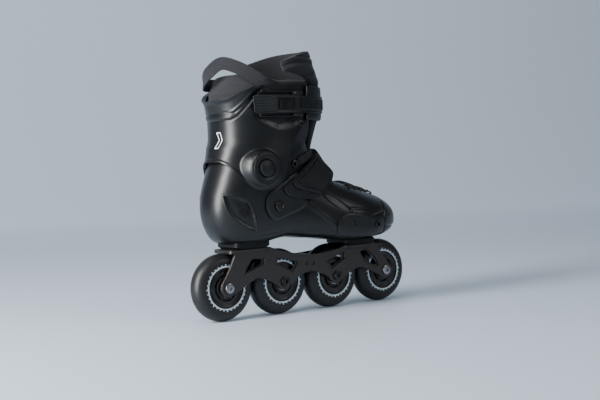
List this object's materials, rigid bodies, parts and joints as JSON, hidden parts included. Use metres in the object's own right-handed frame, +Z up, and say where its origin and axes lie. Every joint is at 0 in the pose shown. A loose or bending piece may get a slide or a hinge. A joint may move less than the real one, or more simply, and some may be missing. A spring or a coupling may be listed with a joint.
{
  "type": "inline skate",
  "caption": "Hard-shell inline skate with a hinged ankle cuff, padded liner, lever buckle, instep strap and a straight row of wheels in a slotted frame.",
  "frame": {"origin": "on the floor, under the middle of the wheelbase, in the wheels' middle plane", "axes": "+X to the toe, +Y to the inner side of the foot (the buckle is on the -Y side), +Z up from the floor"},
  "size_m": [0.323, 0.1203, 0.3195],
  "materials": {
    "urethane": "satin black urethane",
    "core": "satin black plastic",
    "steel": "plain steel",
    "anodised": "satin black-brown anodised",
    "shell_plastic": "satin moulded black plastic",
    "nylon": "fine-grained black plastic",
    "liner": "dark grey knit over foam",
    "webbing": "woven black webbing",
    "foam": "brushed cloth over foam",
    "rubber": "matt black rubber"
  },
  "bodies": {
    "boot_and_frame": {"wheel_1_bearing_spacer": "steel", "wheel_2_bearing_spacer": "steel", "wheel_3_bearing_spacer": "steel", "wheel_4_bearing_spacer": "steel", "axle_bolt_1": "steel", "axle_bolt_2": "steel", "axle_bolt_3": "steel", "axle_bolt_4": "steel", "frame": "anodised", "shell": "shell_plastic", "rear_mount_bolt": "steel", "rear_mount_block": "nylon", "front_mount_bolt": "steel", "front_mount_block": "nylon", "liner": "liner", "insole": "foam", "heel_shock_pad": "rubber", "tongue_lower": "liner", "cuff_pivot_bolt_outer": "nylon", "cuff_pivot_nut_outer": "steel", "cuff_pivot_bolt_inner": "nylon", "cuff_pivot_nut_inner": "steel", "instep_wing_outer": "nylon", "instep_rivet_outer": "steel", "instep_wing_inner": "nylon", "instep_rivet_inner": "steel", "instep_strap": "webbing", "wear_plate_outer": "nylon", "wear_plate_inner": "nylon", "lace": "webbing"},
    "wheel_1": {"wheel_1_tyre": "urethane", "wheel_1_core": "core", "wheel_1_bearing_outer_side": "steel", "wheel_1_bearing_inner_side": "steel"},
    "wheel_2": {"wheel_2_tyre": "urethane", "wheel_2_core": "core", "wheel_2_bearing_outer_side": "steel", "wheel_2_bearing_inner_side": "steel"},
    "wheel_3": {"wheel_3_tyre": "urethane", "wheel_3_core": "core", "wheel_3_bearing_outer_side": "steel", "wheel_3_bearing_inner_side": "steel"},
    "wheel_4": {"wheel_4_tyre": "urethane", "wheel_4_core": "core", "wheel_4_bearing_outer_side": "steel", "wheel_4_bearing_inner_side": "steel"},
    "cuff_group": {"cuff": "shell_plastic", "liner_collar": "liner", "tongue_shin": "liner", "ladder_strap": "nylon", "shin_band": "nylon", "strap_guide": "nylon", "buckle_base": "nylon", "buckle_lever_pin": "steel", "ladder_strap_rivet": "steel", "heel_pull_loop": "webbing"},
    "lever": {"buckle_lever": "nylon"},
    "release_tab": {"buckle_release_tab": "nylon"},
    "instep_flap": {"instep_strap_flap": "webbing", "instep_strap_patch": "rubber"}
  },
  "joints": [
    {"name": "wheel_1_spin", "type": "hinge", "parent": "boot_and_frame", "child": "wheel_1", "pos_m": [-0.1215, 0, 0.04], "axis": [0, 1, 0], "continuous": true},
    {"name": "wheel_2_spin", "type": "hinge", "parent": "boot_and_frame", "child": "wheel_2", "pos_m": [-0.0405, 0, 0.04], "axis": [0, 1, 0], "continuous": true},
    {"name": "wheel_3_spin", "type": "hinge", "parent": "boot_and_frame", "child": "wheel_3", "pos_m": [0.0405, 0, 0.04], "axis": [0, 1, 0], "continuous": true},
    {"name": "wheel_4_spin", "type": "hinge", "parent": "boot_and_frame", "child": "wheel_4", "pos_m": [0.1215, 0, 0.04], "axis": [0, 1, 0], "continuous": true},
    {"name": "cuff_flex", "type": "hinge", "parent": "boot_and_frame", "child": "cuff_group", "pos_m": [-0.085, 0, 0.178], "axis": [0, 1, 0], "range_deg": [-4, 10]},
    {"name": "buckle_lever_open", "type": "hinge", "parent": "cuff_group", "child": "lever", "pos_m": [-0.0415, -0.0582, 0.2515], "axis": [0, 0, 1], "range_deg": [0, 100]},
    {"name": "release_tab_press", "type": "hinge", "parent": "lever", "child": "release_tab", "pos_m": [-0.0484, -0.0591, 0.2515], "axis": [0, 0, 1], "range_deg": [0, 12], "stiffness_Nm_per_rad": 0.02},
    {"name": "instep_flap_peel", "type": "hinge", "parent": "boot_and_frame", "child": "instep_flap", "pos_m": [0.0139, 0.0385, 0.1744], "axis": [-0.4961, 0, 0.8682], "range_deg": [0, 60]}
  ]
}
